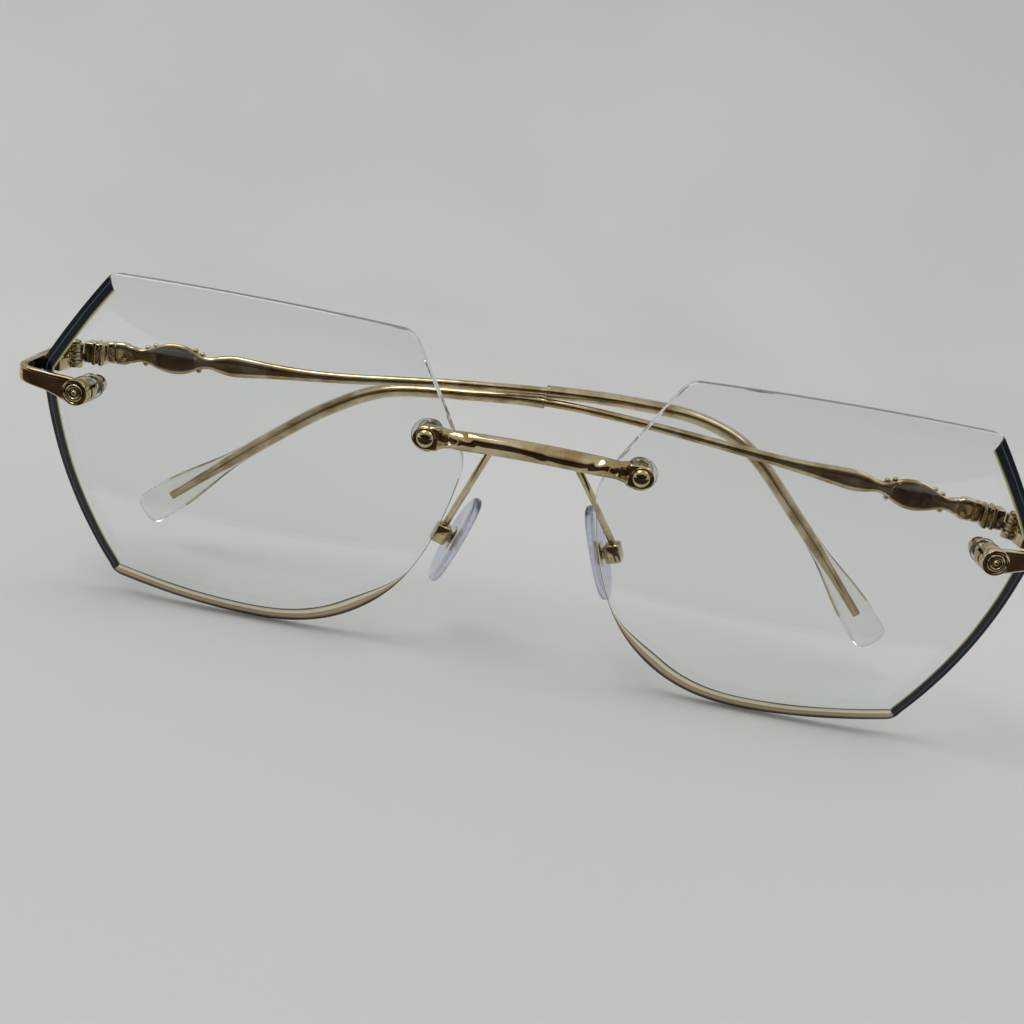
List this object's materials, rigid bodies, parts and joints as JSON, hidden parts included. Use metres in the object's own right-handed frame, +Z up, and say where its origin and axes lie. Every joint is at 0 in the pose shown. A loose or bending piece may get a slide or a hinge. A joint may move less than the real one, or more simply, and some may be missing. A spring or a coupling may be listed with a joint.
{
  "type": "rimless eyeglasses",
  "caption": "Rimless eyeglasses with clear faceted six-sided lenses, a slim sculpted metal bridge, ornamented folding temples in clear sleeves and clear nose pads.",
  "frame": {"origin": "centre of the bridge bar's flat back face, midway between the lenses", "axes": "+Z up as worn, +X towards the wearer's left, +Y back towards the face; the lenses face -Y"},
  "size_m": [0.1366, 0.0268, 0.0442],
  "materials": {
    "metal_gold": "polished pale gold plate",
    "metal_screw": "polished pale gold plate, brighter",
    "lens_clear": "clear, polished, with dark outer and gilt lower edge facets",
    "clear_plastic": "clear glossy acetate",
    "pad_clear": "clear soft silicone"
  },
  "bodies": {
    "front": {"bridge_bar": "metal_gold", "lens_left": "lens_clear", "bridge_screw_left": "metal_screw", "bridge_washer_left": "clear_plastic", "bridge_bushing_left": "clear_plastic", "bridge_nut_left": "metal_screw", "endpiece_screw_left": "metal_screw", "endpiece_washer_left": "clear_plastic", "endpiece_bushing_left": "clear_plastic", "endpiece_nut_left": "metal_screw", "endpiece_left": "metal_gold", "hinge_front_leaf_left": "metal_gold", "hinge_screw_left": "metal_screw", "pad_arm_left": "metal_gold", "pad_box_left": "metal_gold", "pad_screw_left": "metal_screw", "lens_right": "lens_clear", "bridge_screw_right": "metal_screw", "bridge_washer_right": "clear_plastic", "bridge_bushing_right": "clear_plastic", "bridge_nut_right": "metal_screw", "endpiece_screw_right": "metal_screw", "endpiece_washer_right": "clear_plastic", "endpiece_bushing_right": "clear_plastic", "endpiece_nut_right": "metal_screw", "endpiece_right": "metal_gold", "hinge_front_leaf_right": "metal_gold", "hinge_screw_right": "metal_screw", "pad_arm_right": "metal_gold", "pad_box_right": "metal_gold", "pad_screw_right": "metal_screw"},
    "temple_left": {"hinge_temple_leaf_left": "metal_gold", "temple_arm_left": "metal_gold", "temple_tip_left": "clear_plastic"},
    "nose_pad_body_left": {"nose_pad_left": "pad_clear", "pad_insert_left": "metal_gold"},
    "temple_right": {"hinge_temple_leaf_right": "metal_gold", "temple_arm_right": "metal_gold", "temple_tip_right": "clear_plastic"},
    "nose_pad_body_right": {"nose_pad_right": "pad_clear", "pad_insert_right": "metal_gold"}
  },
  "joints": [
    {"name": "temple_right_fold", "type": "hinge", "parent": "front", "child": "temple_right", "pos_m": [-0.066, 0.0104, -0.0005], "axis": [0, 0, 1], "range_deg": [0, 88]},
    {"name": "temple_left_fold", "type": "hinge", "parent": "front", "child": "temple_left", "pos_m": [0.066, 0.0104, -0.0005], "axis": [0, 0, -1], "range_deg": [0, 88]},
    {"name": "nose_pad_right_rock", "type": "hinge", "parent": "front", "child": "nose_pad_body_right", "pos_m": [-0.01098, 0.0086, -0.01612], "axis": [-0.1941, 0.9781, 0.0745], "range_deg": [-6, 6]},
    {"name": "nose_pad_left_rock", "type": "hinge", "parent": "front", "child": "nose_pad_body_left", "pos_m": [0.01318, 0.0086, -0.01412], "axis": [0.1941, 0.9781, 0.0745], "range_deg": [-6, 6]}
  ]
}
